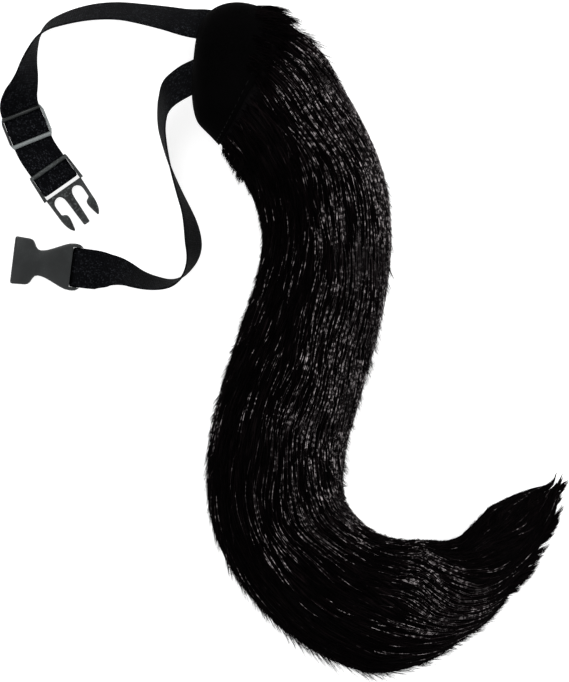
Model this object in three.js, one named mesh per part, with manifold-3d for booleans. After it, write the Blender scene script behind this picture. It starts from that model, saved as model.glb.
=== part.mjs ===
import * as THREE from 'three';
import { mergeVertices } from 'three/addons/utils/BufferGeometryUtils.js';
import Module from 'manifold-3d';

// A stuffed fur tail on a waist strap, lying on its flattened belly and seen from above.
// Millimetres, +Z up, the surface it lies on is z = 0 and the origin is under the layout's middle.
// Headings are degrees anticlockwise from +X. Tables give lengths as shares of a named size.

// Stuffed tail
const tailLength = 590; // along its middle, from the blunt nose to the tip
const tailWidth = 92;
const tailHeight = 74;
const widestAt = 0.45; // share of the height at which a section is widest
const bellySag = 1.12; // how far a section would sag below the surface that flattens it
const noseLength = 24;
const noseSteps = 7;
const noseBlunt = 3;
const noseX = -0.1007 * tailLength; // the nose's place centres the layout on the origin
const noseY = 0.3109 * tailLength;
const tailSteps = 30;
const tailSides = 24;

// Fur locks
const furDepth = 3.5; // how far a lock's end stands off the skin
const lockLength = 62;
const lockWidth = 34;
const lockThickness = 6;
const lockRows = 9;
const locksInRow = 6;
const lockLowest = -16; // degrees below the widest line on either side

// End panel
const capDepth = 43; // from the nose to the panel's rim on top
const capSlant = 10; // how much deeper the rim is on the tail's right, and shallower on its left
const capWall = 2;
const capPlay = 1.1; // between the panel and the stuffed tail under and behind it
const gap = 0.3;

// Webbing
const webbingWidth = 25.4;
const webbingThick = 1.4;
const slitPlay = 0.4;
const slitHeight = 33;
const upperSlitAcross = -0.293 * tailWidth; // from the tail's middle, positive to its right
const lowerSlitAcross = 0.098 * tailWidth;
const slideToBuckle = 29.5; // from the slide's centre bar to the pronged half's rear end
const lowerLength = 216; // from the slit to the socket half's rear end
const upperLength = 0.829 * lowerLength; // from the slit to the slide's centre bar
const foldBack = 13; // the sewn end under the lower strap
const hardwareLead = 8; // the webbing lies straight this far ahead of a piece of hardware
const slideHeading = 292;
const buckleTurn = 13; // the pronged half lies turned from the slide by this many degrees
const webbingStep = 3.4;

// Plastic hardware
const barRadius = 1.5;
const slotPlay = 0.6; // between the webbing's edge and a rail
const railWall = 2.4;
const slideLength = 22.3;
const slideCorner = 4;
const slideRail = 1.7;
const pronged = { length: 46.5, frame: 19.2, height: 6.4, plate: 4.2, barAt: 13.3, edge: 0.5 };
const socket = {
  length: 46,
  height: 9.8,
  wall: 2.1,
  barAt: 3.2,
  barHigh: 4,
  slotEnd: 6.8,
  depth: 28,
  edge: 1,
};

// The tail's middle line turns evenly between these headings
const tailBends = [
  { at: 0, heading: -5 },
  { at: 0.055, heading: -33 },
  { at: 0.12, heading: -53 },
  { at: 0.19, heading: -69 },
  { at: 0.27, heading: -93 },
  { at: 0.36, heading: -105 },
  { at: 0.46, heading: -107 },
  { at: 0.55, heading: -89 },
  { at: 0.63, heading: -47 },
  { at: 0.7, heading: -29 },
  { at: 0.78, heading: 1 },
  { at: 0.86, heading: 43 },
  { at: 0.93, heading: 47 },
  { at: 1, heading: 70 },
];

// Half widths to either side as shares of the tail's width, heights as shares of its height
const tailGirth = [
  { at: 0, right: 0.4, left: 0.48, high: 0.96 },
  { at: 0.05, right: 0.44, left: 0.54, high: 1 },
  { at: 0.09, right: 0.46, left: 0.52, high: 1 },
  { at: 0.14, right: 0.46, left: 0.47, high: 1 },
  { at: 0.2, right: 0.44, left: 0.47, high: 1 },
  { at: 0.29, right: 0.42, left: 0.47, high: 0.98 },
  { at: 0.4, right: 0.46, left: 0.47, high: 1 },
  { at: 0.5, right: 0.47, left: 0.47, high: 1 },
  { at: 0.59, right: 0.46, left: 0.47, high: 1 },
  { at: 0.68, right: 0.49, left: 0.44, high: 1 },
  { at: 0.74, right: 0.5, left: 0.46, high: 0.96 },
  { at: 0.78, right: 0.4, left: 0.47, high: 0.92 },
  { at: 0.82, right: 0.27, left: 0.45, high: 0.84 },
  { at: 0.85, right: 0.23, left: 0.4, high: 0.77 },
  { at: 0.88, right: 0.18, left: 0.32, high: 0.67 },
  { at: 0.92, right: 0.13, left: 0.32, high: 0.52 },
  { at: 0.95, right: 0.1, left: 0.27, high: 0.4 },
  { at: 0.98, right: 0.05, left: 0.15, high: 0.28 },
  { at: 1, right: 0.02, left: 0.02, high: 0.22 },
];

// How much longer and how much further out the locks end along the tail, on its right and its left
const lockGrowth = [
  { at: 0, long: 0.7, right: 0.8, left: 0.8 },
  { at: 0.5, long: 1, right: 1, left: 1 },
  { at: 0.62, long: 1.15, right: 1.6, left: 1 },
  { at: 0.74, long: 1.2, right: 2, left: 1.2 },
  { at: 0.9, long: 1, right: 1, left: 1.4 },
  { at: 1, long: 0.9, right: 1.2, left: 1.2 },
];

// The free stretches of webbing: headings, turn about the webbing's own line, height off the surface
const upperRoute = [
  { at: 0, heading: 174, tilt: 38, lift: 0.7 },
  { at: 0.11, heading: 167, tilt: 48, lift: 0.46 },
  { at: 0.28, heading: 172, tilt: 60, lift: 0.12 },
  { at: 0.42, heading: 188, tilt: 65, lift: 0 },
  { at: 0.56, heading: 202, tilt: 74, lift: 0 },
  { at: 0.67, heading: 246, tilt: 96, lift: 0 },
  { at: 0.78, heading: 261, tilt: 119, lift: 0 },
  { at: 0.86, heading: 247, tilt: 140, lift: 0 },
  { at: 0.9, heading: 263, tilt: 158, lift: 0 },
  { at: 0.935, heading: slideHeading, tilt: 180, lift: 0 },
];
const lowerRoute = [
  { at: 0, heading: 205, tilt: 35, lift: 0.74 },
  { at: 0.06, heading: 217, tilt: 42, lift: 0.64 },
  { at: 0.14, heading: 261, tilt: 73, lift: 0.36 },
  { at: 0.22, heading: 280, tilt: 82, lift: 0.12 },
  { at: 0.32, heading: 288, tilt: 90, lift: 0 },
  { at: 0.44, heading: 292, tilt: 101, lift: 0 },
  { at: 0.56, heading: 276, tilt: 114, lift: 0 },
  { at: 0.66, heading: 236, tilt: 94, lift: 0 },
  { at: 0.74, heading: 178, tilt: 74, lift: 0 },
  { at: 0.84, heading: 156, tilt: 57, lift: 0 },
  { at: 0.92, heading: 177, tilt: 30, lift: 0 },
  { at: 0.97, heading: 173, tilt: 4, lift: 0 },
  { at: 1, heading: 173, tilt: 0, lift: 0 },
];

// One side of the pronged half's plate, from the frame's front to the tips: the arm's outside, its
// barbed head, its inside, the guide
const plateOutline = [
  { along: 0, across: 1.05, round: 0 },
  { along: 0.52, across: 1.02, round: 4 },
  { along: 0.72, across: 1, round: 6 },
  { along: 0.92, across: 0.87, round: 3 },
  { along: 1, across: 0.69, round: 1.2 },
  { along: 0.65, across: 0.54, round: 3 },
  { along: 0.55, across: 0.6, round: 0.8 },
  { along: 0.5, across: 0.82, round: 0.8 },
  { along: 0.2, across: 0.84, round: 2 },
  { along: 0.1, across: 0.66, round: 2 },
  { along: 0.09, across: 0.4, round: 1.5 },
  { along: 0.2, across: 0.23, round: 3 },
  { along: 1, across: 0.17, round: 0.9 },
];

// One side of the socket half, from its rear ear round the waist to the mouth
const socketOutline = [
  { along: 0, across: 0.84, round: 0 },
  { along: 0.05, across: 0.98, round: 2.4 },
  { along: 0.2, across: 0.99, round: 4 },
  { along: 0.46, across: 0.64, round: 10 },
  { along: 0.56, across: 0.54, round: 4 },
  { along: 0.66, across: 0.53, round: 2.5 },
  { along: 0.735, across: 0.96, round: 2.2 },
  { along: 1, across: 1, round: 1.6 },
];

const wasm = await Module();
wasm.setup();

// A value from 0 to 1 that jumps about from one seed to the next
function vary(seed) {
  const value = Math.sin(seed * 12.9898) * 437.58;
  return value - Math.floor(value);
}

function rowAfter(rows, at) {
  const found = rows.findIndex((row) => row.at > at);
  return Math.max(1, found < 0 ? rows.length - 1 : found);
}

// A column's value at a place, straight between the table's rows
function between(rows, column, at) {
  const i = rowAfter(rows, at);
  const share = THREE.MathUtils.clamp((at - rows[i - 1].at) / (rows[i].at - rows[i - 1].at), 0, 1);
  return THREE.MathUtils.lerp(rows[i - 1][column], rows[i][column], share);
}

// The same with a smooth curve through the rows that never overshoots them
function smooth(rows, column, at) {
  const i = rowAfter(rows, at);
  const steep = (k) => (rows[k + 1][column] - rows[k][column]) / (rows[k + 1].at - rows[k].at);
  const slope = (k) => {
    if (k === 0 || k === rows.length - 1) return 0;
    const [before, after] = [steep(k - 1), steep(k)];
    return before * after > 0 ? (2 * before * after) / (before + after) : 0;
  };
  const span = rows[i].at - rows[i - 1].at;
  const t = THREE.MathUtils.clamp((at - rows[i - 1].at) / span, 0, 1);
  const low = (1 + 2 * t) * (1 - t) ** 2 * rows[i - 1][column] + t ** 2 * (3 - 2 * t) * rows[i][column];
  return low + span * (t * (1 - t) ** 2 * slope(i - 1) - t ** 2 * (1 - t) * slope(i));
}

// A line in plan that starts at a point and follows a table of headings, straight on past its ends
function planLine(x, y, length, rows) {
  const steps = 480;
  const step = length * rows[rows.length - 1].at / steps;
  const headingAt = (distance) => THREE.MathUtils.degToRad(between(rows, 'heading', distance / length));
  const points = [new THREE.Vector2(x, y)];
  for (let i = 0; i < steps; i++) {
    const heading = headingAt((i + 0.5) * step);
    const move = new THREE.Vector2(Math.cos(heading), Math.sin(heading));
    points.push(points[i].clone().addScaledVector(move, step));
  }
  return (distance) => {
    const i = THREE.MathUtils.clamp(Math.floor(distance / step), 0, steps - 1);
    const spot = points[i].clone().lerp(points[i + 1], distance / step - i);
    return { x: spot.x, y: spot.y, heading: headingAt(distance) };
  };
}

const tailLine = planLine(noseX, noseY, tailLength, tailBends);

// How far the blunt nose has opened to the full section at a distance from its front
function opened(along, length) {
  const left = THREE.MathUtils.clamp(1 - along / length, 0, 1);
  return (1 - left ** noseBlunt) ** (1 / noseBlunt);
}

function fuller(value) {
  return Math.sign(value) * Math.abs(value) ** 0.87;
}

// A point of the tail's skin, moved outward by out: around is 0 on its right and a quarter turn on top
function skin(along, around, out) {
  const at = along / tailLength;
  const spot = tailLine(along);
  const side = Math.cos(around);
  const rise = Math.sin(around);
  const open = opened(along + out, noseLength + out);
  const high = smooth(tailGirth, 'high', at) * tailHeight;
  const half = smooth(tailGirth, side > 0 ? 'right' : 'left', at) * tailWidth + out;
  const reach = (rise > 0 ? 1 - widestAt : widestAt * bellySag) * high + out;
  const across = half * open * fuller(side);
  const z = Math.max(widestAt * high + reach * open * fuller(rise), -out, 0);
  const { x, y, heading } = spot;
  return new THREE.Vector3(x + Math.sin(heading) * across, y - Math.cos(heading) * across, z);
}

// A closed body from rings of points, with a point, or the ring's own flat face, at either end
function ringBody(rings, first, last) {
  const count = rings[0].length;
  const points = [...rings.flat(), first ?? middle(rings[0]), last ?? middle(rings[rings.length - 1])];
  const faces = [];
  for (let i = 0; i < count; i++) {
    const j = (i + 1) % count;
    faces.push(rings.length * count, j, i);
    for (let k = 0; k + 1 < rings.length; k++) {
      const a = k * count;
      const b = a + count;
      faces.push(a + i, a + j, b + j, a + i, b + j, b + i);
    }
    const end = (rings.length - 1) * count;
    faces.push(end + i, end + j, rings.length * count + 1);
  }
  const geometry = new THREE.BufferGeometry().setFromPoints(points);
  geometry.setIndex(volume(points, faces) < 0 ? faces.reverse() : faces);
  return geometry;
}

function middle(ring) {
  const sum = ring.reduce((total, point) => total.add(point), new THREE.Vector3());
  return sum.divideScalar(ring.length);
}

function volume(points, faces) {
  let total = 0;
  for (let i = 0; i < faces.length; i += 3) {
    total += points[faces[i]].dot(points[faces[i + 1]].clone().cross(points[faces[i + 2]]));
  }
  return total / 6;
}

function toSolid(geometry) {
  const bare = geometry.clone();
  bare.deleteAttribute('normal');
  bare.deleteAttribute('uv');
  const merged = mergeVertices(bare, 1e-4);
  const mesh = new wasm.Mesh({
    numProp: 3,
    vertProperties: new Float32Array(merged.attributes.position.array),
    triVerts: new Uint32Array(merged.index.array),
  });
  return new wasm.Manifold(mesh);
}

function toGeometry(solid) {
  const mesh = solid.getMesh();
  const geometry = new THREE.BufferGeometry();
  geometry.setAttribute('position', new THREE.BufferAttribute(new Float32Array(mesh.vertProperties), 3));
  geometry.setIndex(new THREE.BufferAttribute(new Uint32Array(mesh.triVerts), 1));
  geometry.computeVertexNormals();
  return geometry;
}

function around(count, place) {
  return Array.from({ length: count }, (_, i) => place((i / count) * 2 * Math.PI));
}

// The panel's rim runs aslant, deeper on the tail's right
function rimAt(angle) {
  return capDepth + capSlant * Math.cos(angle);
}

// Rings of skin from the nose to the rim, close together at the front
function noseRings(out) {
  return Array.from({ length: noseSteps }, (_, i) => {
    const share = ((i + 1) / noseSteps) ** 2;
    return around(tailSides, (angle) => skin(-out + (rimAt(angle) + out) * share, angle, out));
  });
}

function nosePoint(out) {
  return skin(-out, 0, out);
}

// One pointed lock: it leaves the skin, follows the tail and ends a little off it
function furLock(start, angle, long, out) {
  const rings = [0, 0.35, 0.75].map((share) => {
    const along = start + long * share;
    const off = THREE.MathUtils.lerp(-lockThickness / 2, out, share ** 1.3);
    const spot = skin(along, angle, off);
    const across = skin(along, angle + 0.02, off).sub(skin(along, angle - 0.02, off)).normalize();
    const outward = skin(along, angle, off + 0.5).sub(spot).normalize();
    const full = Math.sqrt(1 - share) * (0.8 + share * 0.6);
    return around(5, (turn) => {
      const point = spot.clone().addScaledVector(across, Math.cos(turn) * full * lockWidth / 2);
      return point.addScaledVector(outward, Math.sin(turn) * full * lockThickness / 2);
    });
  });
  return ringBody(rings, null, skin(start + long, angle, out));
}

// The nose from its front to a ring behind the rim, as one solid
function noseSolid(out, behind) {
  const rear = [out, Math.min(out, 0), -4 * capWall].map((layer) =>
    around(tailSides, (angle) => skin(rimAt(angle) + behind, angle, layer)));
  return toSolid(ringBody([...noseRings(out), ...rear], nosePoint(out), null));
}

// The fur starts behind the panel, and a plain nose fills the panel
function tailBody() {
  const rings = Array.from({ length: tailSteps }, (_, i) => around(tailSides, (angle) => {
    const start = rimAt(angle);
    return skin(start + (tailLength - start) * i / tailSteps, angle, 0);
  }));
  let body = toSolid(ringBody(rings, null, skin(tailLength, 0, 0)));
  const last = tailLength - 1.15 * lockLength;
  for (let row = 0; row < lockRows; row++) {
    for (let i = 0; i < locksInRow; i++) {
      const share = (i + (row % 2) / 2) / (locksInRow - 0.5);
      const angle = THREE.MathUtils.degToRad(lockLowest + (180 - 2 * lockLowest) * share);
      const seed = row * locksInRow + i;
      const first = rimAt(angle) + lockThickness;
      const start = THREE.MathUtils.lerp(first, last, row / (lockRows - 1));
      const place = Math.max(first, start + (vary(seed) - 0.5) * 0.3 * lockLength);
      const end = (place + lockLength) / tailLength;
      const side = between(lockGrowth, Math.cos(angle) > 0 ? 'right' : 'left', end);
      const out = furDepth * THREE.MathUtils.lerp(1, side, Math.abs(Math.cos(angle)));
      const long = lockLength * between(lockGrowth, 'long', end) * (0.85 + 0.3 * vary(seed + 0.5));
      body = body.add(toSolid(furLock(place, angle, long, out)));
    }
  }
  const below = new THREE.BoxGeometry(4 * tailLength, 4 * tailLength, tailHeight);
  below.translate(0, 0, -tailHeight / 2);
  body = body.subtract(toSolid(below)).subtract(noseSolid(3 * furDepth, capPlay));
  return toGeometry(body.add(noseSolid(-capWall - capPlay, capWall)));
}

function baseCap(straps) {
  const outer = noseRings(0);
  const inner = noseRings(-capWall).reverse();
  let cap = toSolid(ringBody([...outer, ...inner], nosePoint(0), nosePoint(-capWall)));
  for (const strap of straps) {
    const slit = strap.slice(0, strap.findIndex((spot) => spot.distance > tailHeight / 4));
    cap = cap.subtract(ribbon(slit, webbingWidth + 2 * slitPlay, webbingThick + 2 * slitPlay));
  }
  return toGeometry(cap);
}

// A strap's line in plan, from its slit in the panel's face
function strapLine(across, length, rows) {
  const share = Math.abs(across) / (tailGirth[0].right * tailWidth);
  const depth = noseLength * (1 - (1 - share ** noseBlunt) ** (1 / noseBlunt));
  const { x, y, heading } = tailLine(depth);
  return planLine(x + Math.sin(heading) * across, y - Math.cos(heading) * across, length, rows);
}

// The way of a belt over and under round bars, seen from the side: each bar's turn is 1 where the belt
// goes over it, or round it, and -1 where it goes under
function beltRoute(bars) {
  const legs = bars.slice(1).map((bar, i) => {
    const before = bars[i];
    const along = bar.at - before.at;
    const up = bar.high - before.high;
    const turn = (bar.turn * bar.radius - before.turn * before.radius) / Math.hypot(along, up);
    return Math.atan2(up, along) + Math.asin(turn);
  });
  const route = [];
  bars.forEach((bar, i) => {
    const entering = legs[Math.max(i - 1, 0)];
    let leaving = i < legs.length ? legs[i] : entering - THREE.MathUtils.degToRad(bar.last ?? 0);
    if (bar.turn > 0 && leaving > entering + 0.01) leaving -= 2 * Math.PI;
    const count = bar.radius > 0 ? Math.max(1, Math.ceil(Math.abs(leaving - entering) / 0.4)) : 0;
    for (let k = 0; k <= count; k++) {
      const angle = count ? THREE.MathUtils.lerp(entering, leaving, k / count) : entering;
      const reach = bar.turn * bar.radius;
      route.push({ distance: bar.at - reach * Math.sin(angle), base: bar.high + reach * Math.cos(angle) });
    }
  });
  return route.flatMap((spot, i) => {
    const next = route[i + 1] ?? spot;
    const run = Math.abs(next.distance - spot.distance);
    const count = Math.max(1, Math.ceil(run / webbingStep));
    return Array.from({ length: count }, (_, k) => ({
      distance: THREE.MathUtils.lerp(spot.distance, next.distance, k / count),
      base: THREE.MathUtils.lerp(spot.base, next.base, k / count),
    }));
  });
}

// Spots along a strap: in plan by its line, in height by its base and by the edge that stands up
function strapSpots(line, length, rows, beltStart, belt) {
  const free = [];
  const back = -noseLength / 2;
  const steps = Math.round((beltStart - back) / webbingStep);
  for (let i = 0; i < steps; i++) {
    const distance = THREE.MathUtils.lerp(back, beltStart, i / steps);
    const at = distance / length;
    const flat = Math.abs(Math.cos(THREE.MathUtils.degToRad(smooth(rows, 'tilt', at))));
    free.push({ distance, base: smooth(rows, 'lift', at) * slitHeight + flat * webbingThick / 2 });
  }
  return [...free, ...belt].map(({ distance, base }) => {
    const { x, y, heading } = line(distance);
    const tilt = THREE.MathUtils.degToRad(smooth(rows, 'tilt', distance / length));
    const z = base + Math.abs(Math.sin(tilt)) * webbingWidth / 2;
    return { distance, heading, tilt, point: new THREE.Vector3(x, y, z) };
  });
}

// A flat ribbon through the spots
function ribbon(spots, width, thick) {
  const rings = spots.map(({ heading, tilt, point }, i) => {
    const before = spots[Math.max(i - 1, 0)].point;
    const after = spots[Math.min(i + 1, spots.length - 1)].point;
    const forward = after.clone().sub(before).normalize();
    const level = new THREE.Vector3(-Math.sin(heading), Math.cos(heading), 0);
    const across = level.clone().multiplyScalar(Math.cos(tilt));
    across.addScaledVector(forward.clone().cross(level), Math.sin(tilt)).normalize();
    const outward = forward.clone().cross(across).normalize();
    return [[1, 1], [-1, 1], [-1, -1], [1, -1]].map(([side, face]) => {
      const corner = point.clone().addScaledVector(across, side * width / 2);
      return corner.addScaledVector(outward, face * thick / 2);
    });
  });
  return toSolid(ringBody(rings, null, null));
}

// Heights of bars that the webbing is threaded on: over the returning layer, or under both layers
const wrapRadius = barRadius + gap + webbingThick / 2;
const layer = webbingThick + gap;
const lowBar = wrapRadius + webbingThick / 2;
const highBar = lowBar + layer;
const slotHalf = webbingWidth / 2 + slotPlay;
const slideBarAt = slideLength / 2 - barRadius;
const buckleAt = upperLength + slideToBuckle;

const upperRows = [
  ...upperRoute,
  { at: (upperLength + slideLength / 2) / upperLength, heading: slideHeading, tilt: 180, lift: 0 },
  { at: (buckleAt - hardwareLead) / upperLength, heading: slideHeading + buckleTurn, tilt: 180, lift: 0 },
];
const upperLine = strapLine(upperSlitAcross, upperLength, upperRows);
const upperBelt = beltRoute([
  { at: upperLength - slideLength / 2 - hardwareLead, high: webbingThick / 2, radius: 0, turn: 1 },
  { at: upperLength - slideBarAt, high: highBar, radius: wrapRadius, turn: -1 },
  { at: upperLength, high: lowBar, radius: wrapRadius + layer, turn: 1 },
  { at: upperLength + slideBarAt, high: highBar, radius: wrapRadius, turn: -1 },
  { at: buckleAt + barRadius, high: highBar, radius: wrapRadius, turn: -1 },
  { at: buckleAt + pronged.barAt, high: lowBar, radius: wrapRadius, turn: 1 },
  { at: upperLength, high: lowBar, radius: wrapRadius, turn: 1, last: 190 },
]);
const lowerLine = strapLine(lowerSlitAcross, lowerLength, lowerRoute);
const lowerBelt = beltRoute([
  { at: lowerLength - foldBack - hardwareLead, high: webbingThick / 2, radius: 0, turn: 1 },
  { at: lowerLength - foldBack, high: webbingThick / 2 + layer, radius: 0, turn: 1 },
  { at: lowerLength + socket.barAt, high: socket.barHigh, radius: wrapRadius, turn: 1 },
  { at: lowerLength + socket.barAt - foldBack, high: webbingThick / 2, radius: 0, turn: 1 },
]);
const upperSpots = strapSpots(upperLine, upperLength, upperRows, upperBelt[0].distance, upperBelt);
const lowerSpots = strapSpots(lowerLine, lowerLength, lowerRoute, lowerBelt[0].distance, lowerBelt);

function strap(spots) {
  return toGeometry(ribbon(spots, webbingWidth, webbingThick).subtract(noseSolid(-capWall, gap)));
}

// A closed outline whose corners are rounded, each by its own distance
function roundedShape(corners) {
  const shape = new THREE.Shape();
  const count = corners.length;
  corners.forEach((corner, i) => {
    const point = new THREE.Vector2(corner.x, corner.y);
    const toward = (other) => {
      const line = new THREE.Vector2(other.x, other.y).sub(point);
      return point.clone().addScaledVector(line, Math.min(0.45, corner.round / line.length()));
    };
    const enter = toward(corners[(i + count - 1) % count]);
    const leave = toward(corners[(i + 1) % count]);
    if (i === 0) shape.moveTo(enter.x, enter.y);
    else shape.lineTo(enter.x, enter.y);
    if (corner.round > 0) shape.quadraticCurveTo(point.x, point.y, leave.x, leave.y);
  });
  shape.closePath();
  return shape;
}

// Both sides of a part from the table of one side
function mirrored(rows, length, half) {
  const side = rows.map(({ along, across, round }) => ({ x: along * length, y: across * half, round }));
  return [...side, ...side.map(({ x, y, round }) => ({ x, y: -y, round })).reverse()];
}

function slab(shape, low, high, bevel) {
  const geometry = new THREE.ExtrudeGeometry(shape, {
    depth: high - low - 2 * bevel,
    curveSegments: 2,
    bevelEnabled: bevel > 0,
    bevelSize: bevel,
    bevelOffset: -bevel,
    bevelThickness: bevel,
    bevelSegments: 2,
  });
  return toSolid(geometry.translate(0, 0, low + bevel));
}

function box(fromX, toX, halfY, low, high) {
  const geometry = new THREE.BoxGeometry(toX - fromX, 2 * halfY, high - low);
  return toSolid(geometry.translate((fromX + toX) / 2, 0, (low + high) / 2));
}

// A round bar across the webbing
function crossBar(x, z, half) {
  return toSolid(new THREE.CylinderGeometry(barRadius, barRadius, 2 * half, 14).translate(x, 0, z));
}

function rectangle(fromX, toX, half, round) {
  return roundedShape([
    { x: fromX, y: half, round },
    { x: toX, y: half, round },
    { x: toX, y: -half, round },
    { x: fromX, y: -half, round },
  ]);
}

function slideAdjuster() {
  const end = slideLength / 2;
  const outer = rectangle(-end, end, slotHalf + slideRail, slideCorner);
  let slide = slab(outer, highBar - barRadius, highBar + barRadius, barRadius / 2);
  slide = slide.subtract(box(-end - 1, end + 1, slotHalf, 0, highBar + 2 * barRadius));
  for (const at of [-slideBarAt, slideBarAt]) {
    slide = slide.add(crossBar(at, highBar, slotHalf + slideRail / 6));
  }
  return toGeometry(slide.add(crossBar(0, lowBar, slotHalf + slideRail / 2)));
}

function buckleMale() {
  const { length, frame, height, plate, barAt, edge } = pronged;
  const outer = slotHalf + railWall;
  const rails = roundedShape([
    { x: 0, y: outer - 1, round: 1.5 },
    { x: frame, y: outer, round: 0 },
    { x: frame, y: -outer, round: 0 },
    { x: 0, y: 1 - outer, round: 1.5 },
  ]);
  const plateLow = (height - plate) / 2;
  let buckle = slab(rails, 0, height, edge).subtract(box(-1, frame + 1, slotHalf, -1, height + 1));
  buckle = buckle.add(crossBar(barRadius, highBar, slotHalf + railWall / 2));
  buckle = buckle.add(crossBar(barAt, lowBar, slotHalf + railWall / 2));
  const plateFrom = frame - edge;
  const outline = roundedShape(mirrored(plateOutline, length - plateFrom, slotHalf));
  const prongs = slab(outline, plateLow, plateLow + plate, edge * 0.7).translate([plateFrom, 0, 0]);
  return toGeometry(buckle.add(prongs));
}

function buckleFemale() {
  const { length, height, wall, barAt, barHigh, slotEnd, depth, edge } = socket;
  const half = slotHalf + railWall + gap;
  const inner = slotHalf * plateOutline[1].across + gap;
  let buckle = slab(roundedShape(mirrored(socketOutline, length, half)), 0, height, edge);
  const cavity = roundedShape([
    { x: length - depth, y: inner * 0.6, round: 1 },
    { x: length * 0.67, y: inner, round: 1 },
    { x: length + 1, y: inner, round: 0 },
    { x: length + 1, y: -inner, round: 0 },
    { x: length * 0.67, y: -inner, round: 1 },
    { x: length - depth, y: -inner * 0.6, round: 1 },
  ]);
  buckle = buckle.subtract(slab(cavity, wall, height - wall, 0));
  buckle = buckle.subtract(box(-1, slotEnd, slotHalf, -1, height + 1));
  return toGeometry(buckle.add(crossBar(barAt, barHigh, slotHalf + railWall / 2)));
}

const fur = new THREE.MeshStandardMaterial({ color: 0x0b0a0b, roughness: 0.75, metalness: 0 });
const panel = new THREE.MeshStandardMaterial({ color: 0x060606, roughness: 0.9, metalness: 0 });
const webbing = new THREE.MeshStandardMaterial({ color: 0x121316, roughness: 0.8, metalness: 0 });
const plastic = new THREE.MeshStandardMaterial({ color: 0x2c3030, roughness: 0.42, metalness: 0 });

const costumeTail = new THREE.Group();

function piece(name, geometry, material, place) {
  const mesh = new THREE.Mesh(geometry, material);
  mesh.name = name;
  if (place) {
    mesh.position.set(place.x, place.y, 0);
    mesh.rotation.z = place.heading;
  }
  costumeTail.add(mesh);
}

piece('tail_body', tailBody(), fur);
piece('base_cap', baseCap([upperSpots, lowerSpots]), panel);
piece('upper_strap', strap(upperSpots), webbing);
piece('lower_strap', strap(lowerSpots), webbing);
piece('slide_adjuster', slideAdjuster(), plastic, upperLine(upperLength));
piece('buckle_male', buckleMale(), plastic, upperLine(buckleAt));
piece('buckle_female', buckleFemale(), plastic, lowerLine(lowerLength));

export default costumeTail;
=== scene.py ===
import bpy
import bmesh
import numpy as np
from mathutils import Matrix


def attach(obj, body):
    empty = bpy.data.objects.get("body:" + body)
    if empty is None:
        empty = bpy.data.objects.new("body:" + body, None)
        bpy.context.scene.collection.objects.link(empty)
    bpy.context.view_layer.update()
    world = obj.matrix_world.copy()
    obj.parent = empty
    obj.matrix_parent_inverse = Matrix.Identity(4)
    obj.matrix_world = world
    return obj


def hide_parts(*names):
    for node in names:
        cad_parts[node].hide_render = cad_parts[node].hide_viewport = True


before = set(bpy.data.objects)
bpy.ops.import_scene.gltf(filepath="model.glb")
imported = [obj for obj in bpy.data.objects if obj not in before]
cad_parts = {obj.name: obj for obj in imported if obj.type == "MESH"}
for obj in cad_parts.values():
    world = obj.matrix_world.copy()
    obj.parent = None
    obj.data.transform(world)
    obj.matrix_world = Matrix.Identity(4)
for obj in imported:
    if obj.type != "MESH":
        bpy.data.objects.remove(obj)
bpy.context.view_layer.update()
mm = 0.001  # shapes are worked out in millimetres and put into the meshes in metres

# The stuffed tail: headings in degrees anticlockwise from +X, girth as shares of width and height
tail = {
    "length": 590, "width": 92, "height": 74, "widestAt": 0.45, "sag": 1.12,
    "roundness": 0.87, "noseLength": 24, "noseBlunt": 3, "nose": (-59.41, 183.43),
    "rimDepth": 43, "rimSlant": 10,
    "bendAt": [0, 0.055, 0.12, 0.19, 0.27, 0.36, 0.46, 0.55, 0.63, 0.7, 0.78, 0.86, 0.93, 1],
    "heading": [-5, -33, -53, -69, -93, -105, -107, -89, -47, -29, 1, 43, 47, 70],
    "girthAt": [0, .05, .09, .14, .2, .29, .4, .5, .59, .68, .74, .78, .82, .85, .88, .92, .95, .98, 1],
    "right": [.4, .44, .46, .46, .44, .42, .46, .47, .46, .49, .5, .4, .27, .23, .18, .13, .1, .05, .02],
    "left": [.48, .54, .52, .47, .47, .47, .47, .47, .47, .44, .46, .47, .45, .4, .32, .32, .27, .15, .02],
    "high": [.96, 1, 1, 1, 1, .98, 1, 1, 1, 1, .96, .92, .84, .77, .67, .52, .4, .28, .22],
}


# A smooth curve through a table: slopes are harmonic means of the steps, and level at both ends
def smoothCurve(at, values, where):
    at, values = np.asarray(at, float), np.asarray(values, float)
    steep = np.diff(values) / np.diff(at)
    slope = np.zeros(len(at))
    both = steep[:-1] * steep[1:]
    slope[1:-1] = np.where(both > 0, 2 * both / np.where(both > 0, steep[:-1] + steep[1:], 1), 0)
    i = np.clip(np.searchsorted(at, where, side="right"), 1, len(at) - 1)
    span = at[i] - at[i - 1]
    t = np.clip((where - at[i - 1]) / span, 0, 1)
    low = (1 + 2 * t) * (1 - t) ** 2 * values[i - 1] + t ** 2 * (3 - 2 * t) * values[i]
    return low + span * (t * (1 - t) ** 2 * slope[i - 1] - t ** 2 * (1 - t) * slope[i])


# A line in plan: steps of equal length, each turned to the heading the table gives at its middle
def planLine(x, y, length, at, heading):
    steps = 480
    step = length * at[-1] / steps
    turn = np.radians(np.interp((np.arange(steps) + 0.5) * step / length, at, heading))
    xs = x + np.concatenate([[0], np.cumsum(np.cos(turn))]) * step
    ys = y + np.concatenate([[0], np.cumsum(np.sin(turn))]) * step

    def spot(distance):
        distance = np.asarray(distance, float)
        i = np.clip(np.floor(distance / step).astype(int), 0, steps - 1)
        share = distance / step - i
        lineX = xs[i] + (xs[i + 1] - xs[i]) * share
        lineY = ys[i] + (ys[i + 1] - ys[i]) * share
        return lineX, lineY, np.radians(np.interp(distance / length, at, heading))

    return spot


tailLine = planLine(*tail["nose"], tail["length"], tail["bendAt"], tail["heading"])


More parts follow.
